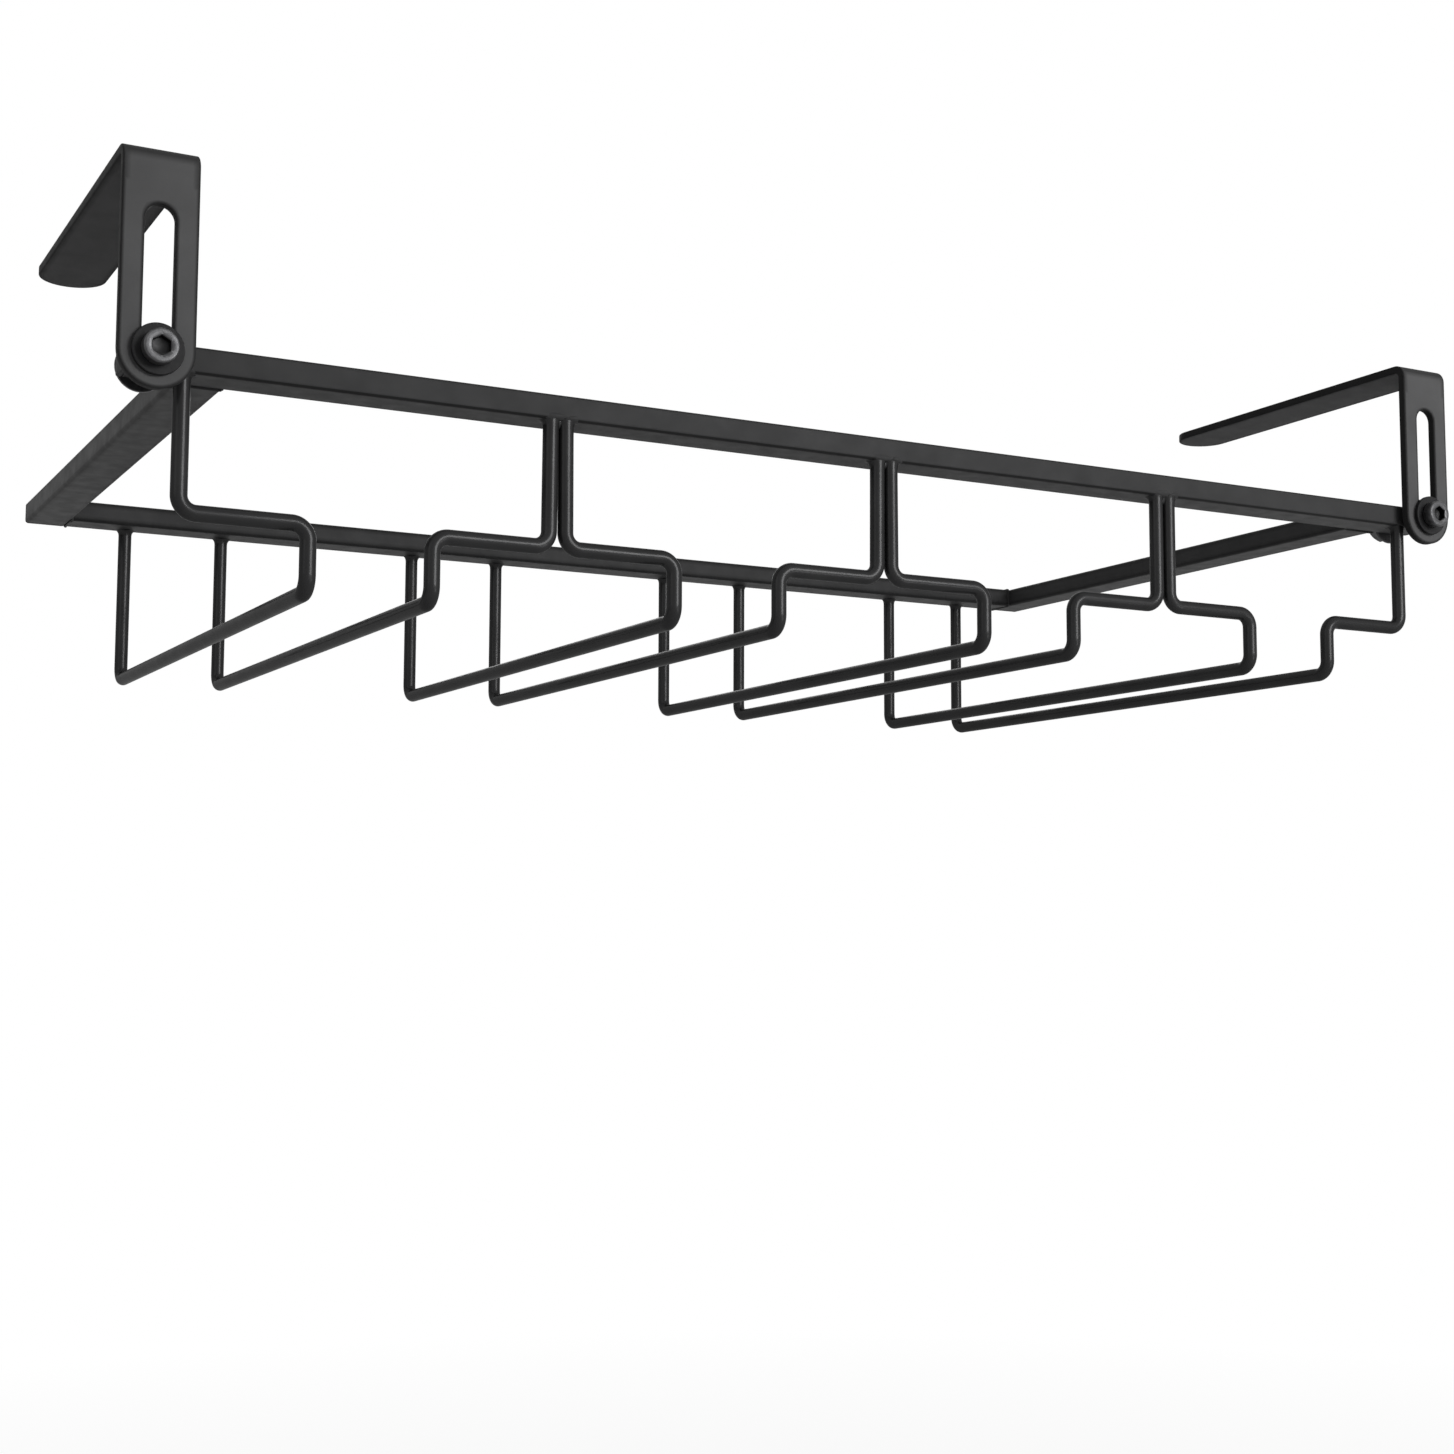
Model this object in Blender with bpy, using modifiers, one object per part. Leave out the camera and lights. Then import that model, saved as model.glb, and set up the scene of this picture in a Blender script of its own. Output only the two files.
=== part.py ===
"""Hanging wine glass rack: a tube frame with bent wire channels, hung from a shelf by two slotted hooks.

Metres, +Z up, the front towards -Y. The origin is the upper front edge of the shelf board, midway
between the hooks: the arms lie on top of the board (z = 0) and the plates hang down its front (y = 0).
"""

import math

import bmesh
import bpy
from mathutils import Vector

# Channels of bent wire
CHANNEL_COUNT = 4
CHANNEL_PITCH = 0.120
WIRE_DIAMETER = 0.005
STEM_GAP = 0.0334
POST_GAP = 0.0006
STEP_DROP = 0.040
STEP_HEIGHT = 0.020
WIRE_BEND_RADIUS = 0.005
WIRE_INSET = 0.00025

# Frame of flat rectangular tube
FRAME_DEPTH = 0.255
TUBE_WIDTH = 0.015
TUBE_HEIGHT = 0.008
TUBE_WALL = 0.001
TUBE_CORNER_RADIUS = 0.0012
TUBE_INNER_CORNER_RADIUS = 0.0005
RAIL_END_MARGIN = 0.0074

# Plugs in the open tube ends
PLUG_CAP_THICKNESS = 0.0015
PLUG_FIT = 0.0003
PLUG_TO_SCREW_HOLE = 0.0009

# Hooks bent from flat bar
BAR_WIDTH = 0.022
BAR_THICKNESS = 0.003
BAR_BEND_RADIUS = 0.002
HOOK_OUTSET = 0.009
HOOK_HEIGHT = 0.0565
ARM_LENGTH = 0.137
HOOK_TRAVEL = 0.038

# Clamp screws with socket heads
SCREW_DIAMETER = 0.006
SCREW_LENGTH = 0.030
SCREW_HEAD_RIM = 0.002
SCREW_HEAD_HEIGHT = 0.004
SCREW_CHAMFER = 0.0005
SOCKET_ACROSS_FLATS = 0.005
SOCKET_DEPTH = 0.0023

# Washers with a collar in the slot, and the rings behind the plates
COLLAR_WALL = 0.0007
WASHER_LAP = 0.0031
WASHER_THICKNESS = 0.0015
SPACER_LAP = 0.0027
SPACER_THICKNESS = 0.0015

# Nuts behind the front rail
NUT_WALL = 0.002
NUT_HEIGHT = 0.006
NUT_FLANGE_LAP = 0.0021
NUT_FLANGE_THICKNESS = 0.0015

# Clearances
SEAT_GAP = 0.0003
BORE_CLEARANCE = 0.0003
SLOT_CLEARANCE = 0.0004
CUT_OVERRUN = 0.001
WELD_DISTANCE = 0.00001

# How finely round shapes are divided
WIRE_SIDE_RESOLUTION = 4
WIRE_BEND_STEPS = 6
BAR_BEND_STEPS = 6
CORNER_STEPS = 4
END_STEPS = 16
TURNED_STEPS = 32
SMOOTH_ANGLE = math.radians(35)

# Values that follow from the sizes above
WIRE_RADIUS = WIRE_DIAMETER / 2
POST_OFFSET = (CHANNEL_PITCH - WIRE_DIAMETER - POST_GAP) / 2
RAIL_OFFSET = (STEM_GAP + WIRE_DIAMETER) / 2
RAIL_DROP = STEP_DROP + STEP_HEIGHT
FRAME_WIDTH = (CHANNEL_COUNT - 1) * CHANNEL_PITCH + 2 * POST_OFFSET

BORE_DIAMETER = SCREW_DIAMETER + 2 * BORE_CLEARANCE
COLLAR_DIAMETER = BORE_DIAMETER + 2 * COLLAR_WALL
SLOT_WIDTH = COLLAR_DIAMETER + 2 * SLOT_CLEARANCE
SLOT_END_LIFT = SLOT_CLEARANCE - SEAT_GAP
SLOT_CENTRES = HOOK_TRAVEL - 2 * SLOT_END_LIFT
WASHER_DIAMETER = SLOT_WIDTH + 2 * WASHER_LAP
SPACER_DIAMETER = SLOT_WIDTH + 2 * SPACER_LAP
SCREW_HEAD_DIAMETER = SCREW_DIAMETER + 2 * SCREW_HEAD_RIM
NUT_ACROSS_FLATS = BORE_DIAMETER + 2 * NUT_WALL
NUT_FLANGE_DIAMETER = NUT_ACROSS_FLATS + 2 * NUT_FLANGE_LAP

PLATE_FRONT_Y = -BAR_THICKNESS
WASHER_BACK_Y = PLATE_FRONT_Y - SEAT_GAP
HEAD_BACK_Y = WASHER_BACK_Y - WASHER_THICKNESS - SEAT_GAP
FRAME_FRONT_Y = SPACER_THICKNESS + 2 * SEAT_GAP
FRAME_REAR_Y = FRAME_FRONT_Y + FRAME_DEPTH
SCREW_X = FRAME_WIDTH / 2 + HOOK_OUTSET
SCREW_Z = -HOOK_HEIGHT
TUBE_UNDERSIDE_Z = SCREW_Z - TUBE_HEIGHT / 2
FRONT_RAIL_HALF = SCREW_X + RAIL_END_MARGIN
PLUG_SPIGOT = RAIL_END_MARGIN - PLUG_CAP_THICKNESS - SEAT_GAP - BORE_DIAMETER / 2 - PLUG_TO_SCREW_HOLE

# How a piece made about its own z is laid along x or y
ALONG_X = (math.pi / 2, 0, math.pi / 2)
ALONG_Y = (math.pi / 2, 0, 0)

# Finishes: base colour, roughness, metallic
FINISHES = {
    "black_powder_coat": ((0.045, 0.045, 0.047, 1.0), 0.45, 0.0),
    "black_oxide_screw": ((0.09, 0.09, 0.095, 1.0), 0.38, 0.8),
    "black_nylon": ((0.012, 0.012, 0.013, 1.0), 0.6, 0.0),
    "black_plug": ((0.03, 0.03, 0.032, 1.0), 0.55, 0.0),
}


def clear_scene():
    """Remove every object that the file opens with."""
    for old in list(bpy.data.objects):
        bpy.data.objects.remove(old, do_unlink=True)


def new_collection(name):
    """A collection of this name, linked to the scene."""
    collection = bpy.data.collections.new(name)
    bpy.context.scene.collection.children.link(collection)
    return collection


def make_material(name, finish):
    """A Principled material with one of the finishes."""
    colour, roughness, metallic = FINISHES[finish]
    material = bpy.data.materials.new(name)
    material.use_nodes = True
    shader = material.node_tree.nodes["Principled BSDF"]
    shader.inputs["Base Color"].default_value = colour
    shader.inputs["Roughness"].default_value = roughness
    shader.inputs["Metallic"].default_value = metallic
    return material


def add_part(name, mesh, finish, location=(0, 0, 0), rotation=(0, 0, 0), parent=None):
    """Put a mesh into the part's collection as one named piece with its own material."""
    piece = bpy.data.objects.new(name, mesh)
    PARTS.objects.link(piece)
    piece.location = location
    piece.rotation_euler = rotation
    piece.parent = parent
    mesh.shade_smooth()
    mesh.set_sharp_from_angle(angle=SMOOTH_ANGLE)
    piece.data.materials.clear()
    piece.data.materials.append(make_material(name, finish))
    return piece


def add_cutter(name, mesh, location=(0, 0, 0), rotation=(0, 0, 0), parent=None):
    """Put a mesh into the cutters' collection, out of sight."""
    cutter = bpy.data.objects.new(name, mesh)
    CUTTERS.objects.link(cutter)
    cutter.location = location
    cutter.rotation_euler = rotation
    cutter.parent = parent
    cutter.hide_render = True
    cutter.display_type = "WIRE"
    return cutter


def add_boolean(piece, cutter, operation="DIFFERENCE"):
    """Cut a piece with a cutter, or join the cutter to it."""
    boolean = piece.modifiers.new(operation.title() + "_" + cutter.name, "BOOLEAN")
    boolean.operation = operation
    boolean.solver = "EXACT"
    boolean.object = cutter


def mesh_from_curve(curve):
    """The closed mesh of a curve, with its caps welded on."""
    helper = bpy.data.objects.new(curve.name, curve)
    CUTTERS.objects.link(helper)
    graph = bpy.context.evaluated_depsgraph_get()
    mesh = bpy.data.meshes.new_from_object(helper.evaluated_get(graph))
    mesh.name = curve.name
    bpy.data.objects.remove(helper, do_unlink=True)
    build = bmesh.new()
    build.from_mesh(mesh)
    bmesh.ops.remove_doubles(build, verts=build.verts, dist=WELD_DISTANCE)
    build.to_mesh(mesh)
    build.free()
    return mesh


def rounded_rectangle(width, height, radius):
    """The corners of a rectangle as quarter circles, anticlockwise."""
    points = []
    for corner in range(4):
        start = corner * math.pi / 2
        sign_x = 1 if corner in (0, 3) else -1
        sign_y = 1 if corner in (0, 1) else -1
        centre_x = sign_x * (width / 2 - radius)
        centre_y = sign_y * (height / 2 - radius)
        for step in range(CORNER_STEPS + 1):
            angle = start + step / CORNER_STEPS * math.pi / 2
            points.append((centre_x + radius * math.cos(angle), centre_y + radius * math.sin(angle)))
    return points


def obround(width, low_centre, high_centre):
    """A strip along y with full round ends about two centres, anticlockwise."""
    radius = width / 2
    points = []
    for centre, start in ((high_centre, 0), (low_centre, math.pi)):
        for step in range(END_STEPS + 1):
            angle = start + step / END_STEPS * math.pi
            points.append((radius * math.cos(angle), centre + radius * math.sin(angle)))
    return points


def plate_mesh(name, loops, thickness):
    """A flat outline, with any holes as further loops, given its thickness along z."""
    curve = bpy.data.curves.new(name, "CURVE")
    curve.dimensions = "2D"
    curve.fill_mode = "BOTH"
    curve.extrude = thickness / 2
    for loop in loops:
        spline = curve.splines.new("POLY")
        spline.points.add(len(loop) - 1)
        for point, (x, y) in zip(spline.points, loop):
            point.co = (x, y, 0, 1)
        spline.use_cyclic_u = True
    return mesh_from_curve(curve)


def cylinder_mesh(name, diameter, height, sides=TURNED_STEPS):
    """A cylinder or prism about z, centred on its middle, with a flat towards x on a prism."""
    build = bmesh.new()
    bmesh.ops.create_cone(build, cap_ends=True, segments=sides, radius1=diameter / 2,
                          radius2=diameter / 2, depth=height)
    mesh = bpy.data.meshes.new(name)
    build.to_mesh(mesh)
    build.free()
    return mesh


def turned_object(name, profile, finish, parent, closed=False):
    """A piece turned about its own z, from a profile of (radius, height) that runs down outside."""
    mesh = bpy.data.meshes.new(name)
    edges = [(i, i + 1) for i in range(len(profile) - 1)]
    if closed:
        edges.append((len(profile) - 1, 0))
    mesh.from_pydata([(radius, 0, height) for radius, height in profile], edges, [])
    piece = add_part(name, mesh, finish, parent=parent)
    screw = piece.modifiers.new("Turn", "SCREW")
    screw.axis = "Z"
    screw.angle = math.tau
    screw.steps = TURNED_STEPS
    screw.render_steps = TURNED_STEPS
    screw.use_merge_vertices = True
    screw.merge_threshold = WELD_DISTANCE
    screw.use_smooth_shade = False
    return piece


def make_tube(name, length, location, rotation):
    """A length of flat tube about its own z, open at both ends, with its width along x."""
    outer = rounded_rectangle(TUBE_WIDTH, TUBE_HEIGHT, TUBE_CORNER_RADIUS)
    bore_width = TUBE_WIDTH - 2 * TUBE_WALL
    bore_height = TUBE_HEIGHT - 2 * TUBE_WALL
    inner = rounded_rectangle(bore_width, bore_height, TUBE_INNER_CORNER_RADIUS)
    mesh = plate_mesh(name, [outer, inner], length)
    return add_part(name, mesh, "black_powder_coat", location, rotation)


def make_front_rail():
    """The long rail that carries the front posts and, at its drilled ends, the clamp screws."""
    length = 2 * (FRONT_RAIL_HALF - PLUG_CAP_THICKNESS - SEAT_GAP)
    middle_y = FRAME_FRONT_Y + TUBE_WIDTH / 2
    rail = make_tube("front_rail", length, (0, middle_y, SCREW_Z), ALONG_X)
    for side, sign in SIDES:
        name = side + "_screw_drill"
        mesh = cylinder_mesh(name, BORE_DIAMETER, TUBE_WIDTH + 2 * CUT_OVERRUN)
        drill = add_cutter(name, mesh, (sign * SCREW_X, middle_y, SCREW_Z), ALONG_Y)
        add_boolean(rail, drill)


def make_other_rails():
    """Side rails from the front rail to the rear face, and the rear rail between them."""
    front = FRAME_FRONT_Y + TUBE_WIDTH + SEAT_GAP
    rear = FRAME_REAR_Y - PLUG_CAP_THICKNESS - SEAT_GAP
    for side, sign in SIDES:
        place = (sign * (FRAME_WIDTH - TUBE_WIDTH) / 2, (front + rear) / 2, SCREW_Z)
        make_tube(side + "_rail", rear - front, place, ALONG_Y)
    length = FRAME_WIDTH - 2 * TUBE_WIDTH - 2 * SEAT_GAP
    make_tube("rear_rail", length, (0, FRAME_REAR_Y - TUBE_WIDTH / 2, SCREW_Z), ALONG_X)


def make_end_plug(name, location, rotation):
    """A plug for a tube end: its cap lies outside the tube and its spigot points down its own z."""
    face = rounded_rectangle(TUBE_WIDTH, TUBE_HEIGHT, TUBE_CORNER_RADIUS)
    plug = add_part(name, plate_mesh(name, [face], PLUG_CAP_THICKNESS), "black_plug", location, rotation)
    inset = 2 * TUBE_WALL + 2 * PLUG_FIT
    reach = PLUG_SPIGOT + SEAT_GAP + PLUG_CAP_THICKNESS / 2
    outline = rounded_rectangle(TUBE_WIDTH - inset, TUBE_HEIGHT - inset, TUBE_INNER_CORNER_RADIUS)
    spigot = add_cutter(name + "_spigot", plate_mesh(name + "_spigot", [outline], reach),
                        (0, 0, -reach / 2), parent=plug)
    add_boolean(plug, spigot, "UNION")


def make_end_plugs():
    """Four plugs: two close the front rail, two close the side rails behind."""
    half_cap = PLUG_CAP_THICKNESS / 2
    for side, sign in SIDES:
        front_end = (sign * (FRONT_RAIL_HALF - half_cap), FRAME_FRONT_Y + TUBE_WIDTH / 2, SCREW_Z)
        make_end_plug("front_" + side + "_end_plug", front_end, (math.pi / 2, 0, sign * math.pi / 2))
        rear_end = (sign * (FRAME_WIDTH - TUBE_WIDTH) / 2, FRAME_REAR_Y - half_cap, SCREW_Z)
        make_end_plug("rear_" + side + "_end_plug", rear_end, (-math.pi / 2, 0, 0))


def bent_path(corners, radius, steps):
    """The corners of a polyline, with an arc of the given radius at every corner but the ends."""
    path = [corners[0]]
    for before, corner, after in zip(corners, corners[1:], corners[2:]):
        back = (before - corner).normalized()
        ahead = (after - corner).normalized()
        half_turn = back.angle(ahead) / 2
        centre = corner + (back + ahead).normalized() * (radius / math.sin(half_turn))
        start = corner + back * (radius / math.tan(half_turn)) - centre
        sweep = math.pi - 2 * half_turn
        for step in range(steps + 1):
            angle = step / steps * sweep
            path.append(centre + start * math.cos(angle) - back * radius * math.sin(angle))
    path.append(corners[-1])
    return path


def make_wire(name, post_x, rail_x):
    """One bent wire: post, step towards the channel, drop, rail to the back and rear post."""
    top = TUBE_UNDERSIDE_Z - SEAT_GAP
    step_z = TUBE_UNDERSIDE_Z - STEP_DROP
    rail_z = TUBE_UNDERSIDE_Z - RAIL_DROP
    front = FRAME_FRONT_Y + WIRE_RADIUS + WIRE_INSET
    rear = FRAME_REAR_Y - WIRE_RADIUS - WIRE_INSET
    corners = [Vector((post_x, front, top)), Vector((post_x, front, step_z)),
               Vector((rail_x, front, step_z)), Vector((rail_x, front, rail_z)),
               Vector((rail_x, rear, rail_z)), Vector((rail_x, rear, top))]
    curve = bpy.data.curves.new(name, "CURVE")
    curve.dimensions = "3D"
    curve.bevel_depth = WIRE_RADIUS
    curve.bevel_resolution = WIRE_SIDE_RESOLUTION
    curve.use_fill_caps = True
    spline = curve.splines.new("POLY")
    path = bent_path(corners, WIRE_BEND_RADIUS, WIRE_BEND_STEPS)
    spline.points.add(len(path) - 1)
    for point, place in zip(spline.points, path):
        point.co = (*place, 1)
    add_part(name, mesh_from_curve(curve), "black_powder_coat")


def make_channels():
    """Each channel is two mirrored wires, with the stems of the glasses between their rails."""
    for index in range(CHANNEL_COUNT):
        centre = (index - (CHANNEL_COUNT - 1) / 2) * CHANNEL_PITCH
        for side, sign in SIDES:
            name = f"channel_{index + 1}_{side}_wire"
            make_wire(name, centre + sign * POST_OFFSET, centre + sign * RAIL_OFFSET)


def bend_blank(mesh, plate_length, radius, flat_z):
    """Bend a flat blank square: x stays, y is the length along the bar and z its thickness.

    Below plate_length the bar stands as the plate, then it turns about the bend's axis, and what is
    left of it lies back as the arm. The radius is that of the bar's middle plane.
    """
    turn = radius * math.pi / 2
    build = bmesh.new()
    build.from_mesh(mesh)
    for step in range(BAR_BEND_STEPS + 1):
        station = Vector((0, plate_length + step / BAR_BEND_STEPS * turn, 0))
        everything = build.verts[:] + build.edges[:] + build.faces[:]
        bmesh.ops.bisect_plane(build, geom=everything, dist=WELD_DISTANCE, plane_co=station,
                               plane_no=(0, 1, 0))
    for vertex in build.verts:
        x, along, out = vertex.co
        angle = min(max(along - plate_length, 0), turn) / radius
        below = min(along - plate_length, 0)
        beyond = max(along - plate_length - turn, 0)
        vertex.co = (x, BAR_BEND_RADIUS - (radius + out) * math.cos(angle) + beyond,
                     flat_z + (radius + out) * math.sin(angle) + below)
    build.to_mesh(mesh)
    build.free()


def make_hook(side, pivot):
    """A bar with a slot and full round ends, bent so that the plate stands and the arm lies back."""
    name = side + "_hook"
    half = BAR_WIDTH / 2
    radius = BAR_BEND_RADIUS + BAR_THICKNESS / 2
    flat_z = HOOK_HEIGHT - BAR_BEND_RADIUS
    plate_length = flat_z - SLOT_END_LIFT
    full_length = plate_length + radius * math.pi / 2 + ARM_LENGTH - BAR_BEND_RADIUS
    blank = obround(BAR_WIDTH, 0, full_length - half)
    slot = obround(SLOT_WIDTH, 0, SLOT_CENTRES)
    mesh = plate_mesh(name, [blank, slot], BAR_THICKNESS)
    bend_blank(mesh, plate_length, radius, flat_z)
    add_part(name, mesh, "black_powder_coat", parent=pivot)


def make_screw(side, pivot):
    """A socket head cap screw about its own z, turned so that its head faces the front."""
    name = side + "_clamp_screw"
    head = SCREW_HEAD_DIAMETER / 2
    shank = SCREW_DIAMETER / 2
    profile = [(0, SCREW_HEAD_HEIGHT), (head - SCREW_CHAMFER, SCREW_HEAD_HEIGHT),
               (head, SCREW_HEAD_HEIGHT - SCREW_CHAMFER), (head, 0), (shank, 0),
               (shank, SCREW_CHAMFER - SCREW_LENGTH), (shank - SCREW_CHAMFER, -SCREW_LENGTH),
               (0, -SCREW_LENGTH)]
    screw = turned_object(name, profile, "black_oxide_screw", pivot)
    screw.location = (0, HEAD_BACK_Y, 0)
    screw.rotation_euler = ALONG_Y
    depth = SOCKET_DEPTH + CUT_OVERRUN
    corners = SOCKET_ACROSS_FLATS / math.cos(math.pi / 6)
    socket = add_cutter(name + "_socket", cylinder_mesh(name + "_socket", corners, depth, 6),
                        (0, 0, SCREW_HEAD_HEIGHT - SOCKET_DEPTH + depth / 2), parent=screw)
    add_boolean(screw, socket)


def make_shoulder_washer(side, pivot):
    """The black ring under the screw head, with a collar that runs in the hook's slot."""
    bore = BORE_DIAMETER / 2
    collar = COLLAR_DIAMETER / 2
    flange = WASHER_DIAMETER / 2
    profile = [(bore, WASHER_THICKNESS), (flange, WASHER_THICKNESS), (flange, 0), (collar, 0),
               (collar, -BAR_THICKNESS), (bore, -BAR_THICKNESS)]
    washer = turned_object(side + "_shoulder_washer", profile, "black_nylon", pivot, closed=True)
    washer.location = (0, WASHER_BACK_Y, 0)
    washer.rotation_euler = ALONG_Y


def make_spacer(side, pivot):
    """The ring that keeps the plate off the front rail, so that the coatings don't rub."""
    bore = BORE_DIAMETER / 2
    outer = SPACER_DIAMETER / 2
    profile = [(bore, SPACER_THICKNESS), (outer, SPACER_THICKNESS), (outer, 0), (bore, 0)]
    spacer = turned_object(side + "_spacer", profile, "black_nylon", pivot, closed=True)
    spacer.location = (0, SEAT_GAP + SPACER_THICKNESS, 0)
    spacer.rotation_euler = ALONG_Y


def make_flange_nut(side, pivot):
    """A hexagon nut with a round flange, behind the front rail."""
    name = side + "_flange_nut"
    flange = cylinder_mesh(name, NUT_FLANGE_DIAMETER, NUT_FLANGE_THICKNESS)
    front = FRAME_FRONT_Y + TUBE_WIDTH + SEAT_GAP
    nut = add_part(name, flange, "black_oxide_screw", (0, front + NUT_FLANGE_THICKNESS / 2, 0),
                   (-math.pi / 2, 0, 0), pivot)
    corners = NUT_ACROSS_FLATS / math.cos(math.pi / 6)
    reach = NUT_HEIGHT - NUT_FLANGE_THICKNESS / 2
    hexagon = add_cutter(name + "_hexagon", cylinder_mesh(name + "_hexagon", corners, reach, 6),
                         (0, 0, reach / 2), parent=nut)
    add_boolean(nut, hexagon, "UNION")
    bore = cylinder_mesh(name + "_bore", BORE_DIAMETER, 2 * NUT_HEIGHT + CUT_OVERRUN)
    drill = add_cutter(name + "_bore", bore, parent=nut)
    add_boolean(nut, drill)


def make_hook_sets():
    """Each hook with its screw, washer, spacer and nut, parented to an empty on the screw's axis."""
    for side, sign in SIDES:
        pivot = bpy.data.objects.new(side + "_hook_pivot", None)
        PARTS.objects.link(pivot)
        pivot.location = (sign * SCREW_X, 0, SCREW_Z)
        make_hook(side, pivot)
        make_screw(side, pivot)
        make_shoulder_washer(side, pivot)
        make_spacer(side, pivot)
        make_flange_nut(side, pivot)


SIDES = (("left", -1), ("right", 1))

clear_scene()
PARTS = new_collection("wine_glass_rack")
CUTTERS = new_collection("cutters")
make_front_rail()
make_other_rails()
make_end_plugs()
make_channels()
make_hook_sets()
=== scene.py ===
"""Looks of a hanging wine glass rack: a flat-tube frame, bent wire channels and two slotted hooks."""

import logging
import math
from dataclasses import dataclass, field
from enum import Enum

import bmesh
import bpy
import numpy as np
from mathutils import Matrix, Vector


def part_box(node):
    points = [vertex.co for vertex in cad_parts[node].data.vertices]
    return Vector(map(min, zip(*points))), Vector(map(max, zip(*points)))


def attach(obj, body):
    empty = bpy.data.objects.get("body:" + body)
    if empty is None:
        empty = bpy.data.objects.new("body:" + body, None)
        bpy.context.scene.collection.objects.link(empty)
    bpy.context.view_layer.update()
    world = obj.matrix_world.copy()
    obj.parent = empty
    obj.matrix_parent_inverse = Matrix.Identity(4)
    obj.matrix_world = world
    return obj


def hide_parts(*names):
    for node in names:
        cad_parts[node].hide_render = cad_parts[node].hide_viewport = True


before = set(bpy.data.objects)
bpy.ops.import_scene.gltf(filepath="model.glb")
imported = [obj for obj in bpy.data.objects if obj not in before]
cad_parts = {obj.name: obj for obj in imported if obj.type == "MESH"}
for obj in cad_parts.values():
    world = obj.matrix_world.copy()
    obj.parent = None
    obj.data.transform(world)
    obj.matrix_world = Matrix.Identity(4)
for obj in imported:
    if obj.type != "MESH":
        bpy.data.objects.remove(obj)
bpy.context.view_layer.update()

Point = tuple[float, float, float]
Rows = tuple[tuple[float, ...], ...]
Socket = bpy.types.NodeSocket

LOG = logging.getLogger("wine_glass_rack")
# The point attribute that carries painted edge shade.
SHADE_LAYER = "edge"
MERGE_DISTANCE = 1e-6
SHARP_ANGLE = math.radians(38)
QUARTER = math.pi / 2
ROUNDING = 1e-4
POLE_SHARE = 1e-4
CORNER_STEPS = 10
# GUARD_SHADE is the painted edge shade at the near guard; on a tube it fades out by the far guard.
CORNER_GUARDS = (0.00008, 0.0013)
GUARD_SHADE = 0.7
DROP_GRID = (17, 28)
NOISE_MIDDLE = (0.3, 0.7)
WAVES_PER_RING = 0.314
RING_WANDER = 0.6
WHITE = (1, 1, 1, 1)


class Side(Enum):
    """The two ends of the rack, as the sign of their x."""

    LEFT = -1
    RIGHT = 1

    @property
    def word(self) -> str:
        """The side's name as the solids have it."""
        return self.name.lower()

    @property
    def other(self) -> "Side":
        """The opposite side."""
        return Side(-self.value)


class Slot(Enum):
    """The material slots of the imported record."""

    FRAME = "frame_coat"
    WIRE = "wire_coat"
    HOOK = "hook_coat"
    SCREW = "screw_steel"
    NUT = "nut_steel"
    WASHER = "washer_nylon"
    PLUG = "plug_plastic"


class Facing(Enum):
    """Where a piece's own z axis points once it is in place, with its own y axis up."""

    FRONT = ((1, 0, 0), (0, 0, -1), (0, 1, 0))
    BACK = ((-1, 0, 0), (0, 0, 1), (0, 1, 0))
    RIGHT = ((0, 0, 1), (1, 0, 0), (0, 1, 0))
    LEFT = ((0, 0, -1), (-1, 0, 0), (0, 1, 0))

    def place(self, points: np.ndarray, origin: np.ndarray) -> np.ndarray:
        """Turn points, whose last axis is x, y, z, and move them: origin + turn * point."""
        return points @ np.array(self.value, float).T + origin


@dataclass(frozen=True)
class Box:
    """The lowest and highest corner of a solid at rest."""

    low: np.ndarray
    high: np.ndarray

    @classmethod
    def of(cls, node: str) -> "Box":
        """The box of that solid."""
        return cls(*(np.array(corner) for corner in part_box(node)))

    @property
    def size(self) -> np.ndarray:
        """Its lengths along x, y and z."""
        return self.high - self.low

    @property
    def middle(self) -> np.ndarray:
        """Its middle, as a new array."""
        return (self.low + self.high) / 2

    def inside(self, side: Side, inset: float = 0.0) -> float:
        """The x that far inside its face on that side."""
        return self.low[0] + inset if side is Side.LEFT else self.high[0] - inset


# ---------------------------------------------------------------- surfaces


def smooth(mesh: bpy.types.Mesh) -> None:
    """Shade a mesh smooth but for real corners."""
    mesh.shade_smooth()
    mesh.set_sharp_from_angle(angle=SHARP_ANGLE)


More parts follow.
